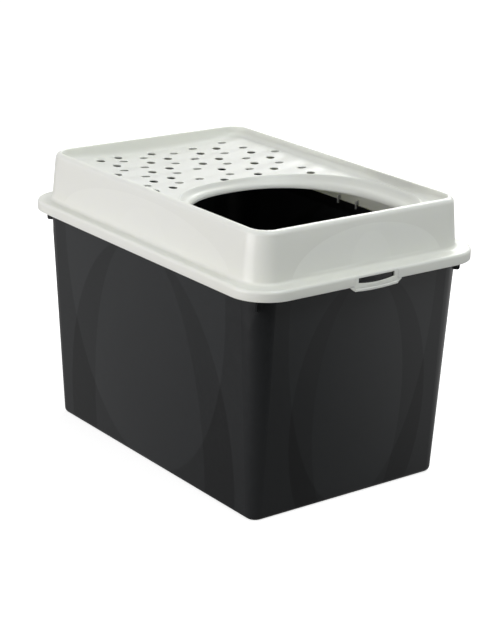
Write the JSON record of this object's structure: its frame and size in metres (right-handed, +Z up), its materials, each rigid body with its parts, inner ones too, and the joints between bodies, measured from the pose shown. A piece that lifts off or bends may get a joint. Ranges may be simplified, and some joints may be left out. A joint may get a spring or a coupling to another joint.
{
  "type": "top entry litter box",
  "caption": "Deep tapered litter tub with a latched lid whose sunken, perforated tread leads to a large arched entry opening with a rounded collar.",
  "frame": {"origin": "on the floor under the middle of the box: the middle of the bounding box's bottom face", "axes": "+Z up, the entry opening and the front latch towards -Y, the perforated tread towards +Y, +X to the right seen from the front"},
  "size_m": [0.393, 0.572, 0.404],
  "materials": {
    "tub_plastic": "anthracite moulded polypropylene, smooth satin",
    "lid_plastic": "off-white moulded polypropylene, smooth satin"
  },
  "bodies": {
    "tub": {"tub": "tub_plastic"},
    "lid": {"lid": "lid_plastic"},
    "front_latch": {"front_latch": "lid_plastic"},
    "rear_latch": {"rear_latch": "lid_plastic"}
  },
  "joints": [
    {"name": "lid_lift", "type": "slide", "parent": "tub", "child": "lid", "axis": [0, 0, 1], "range_m": [0, 0.12]},
    {"name": "front_latch_flex", "type": "hinge", "parent": "lid", "child": "front_latch", "pos_m": [0, -0.2832, 0.3312], "axis": [-1, 0, 0], "range_deg": [0, 12], "stiffness_Nm_per_rad": 0.5},
    {"name": "rear_latch_flex", "type": "hinge", "parent": "lid", "child": "rear_latch", "pos_m": [0, 0.2832, 0.3312], "axis": [1, 0, 0], "range_deg": [0, 12], "stiffness_Nm_per_rad": 0.5}
  ]
}
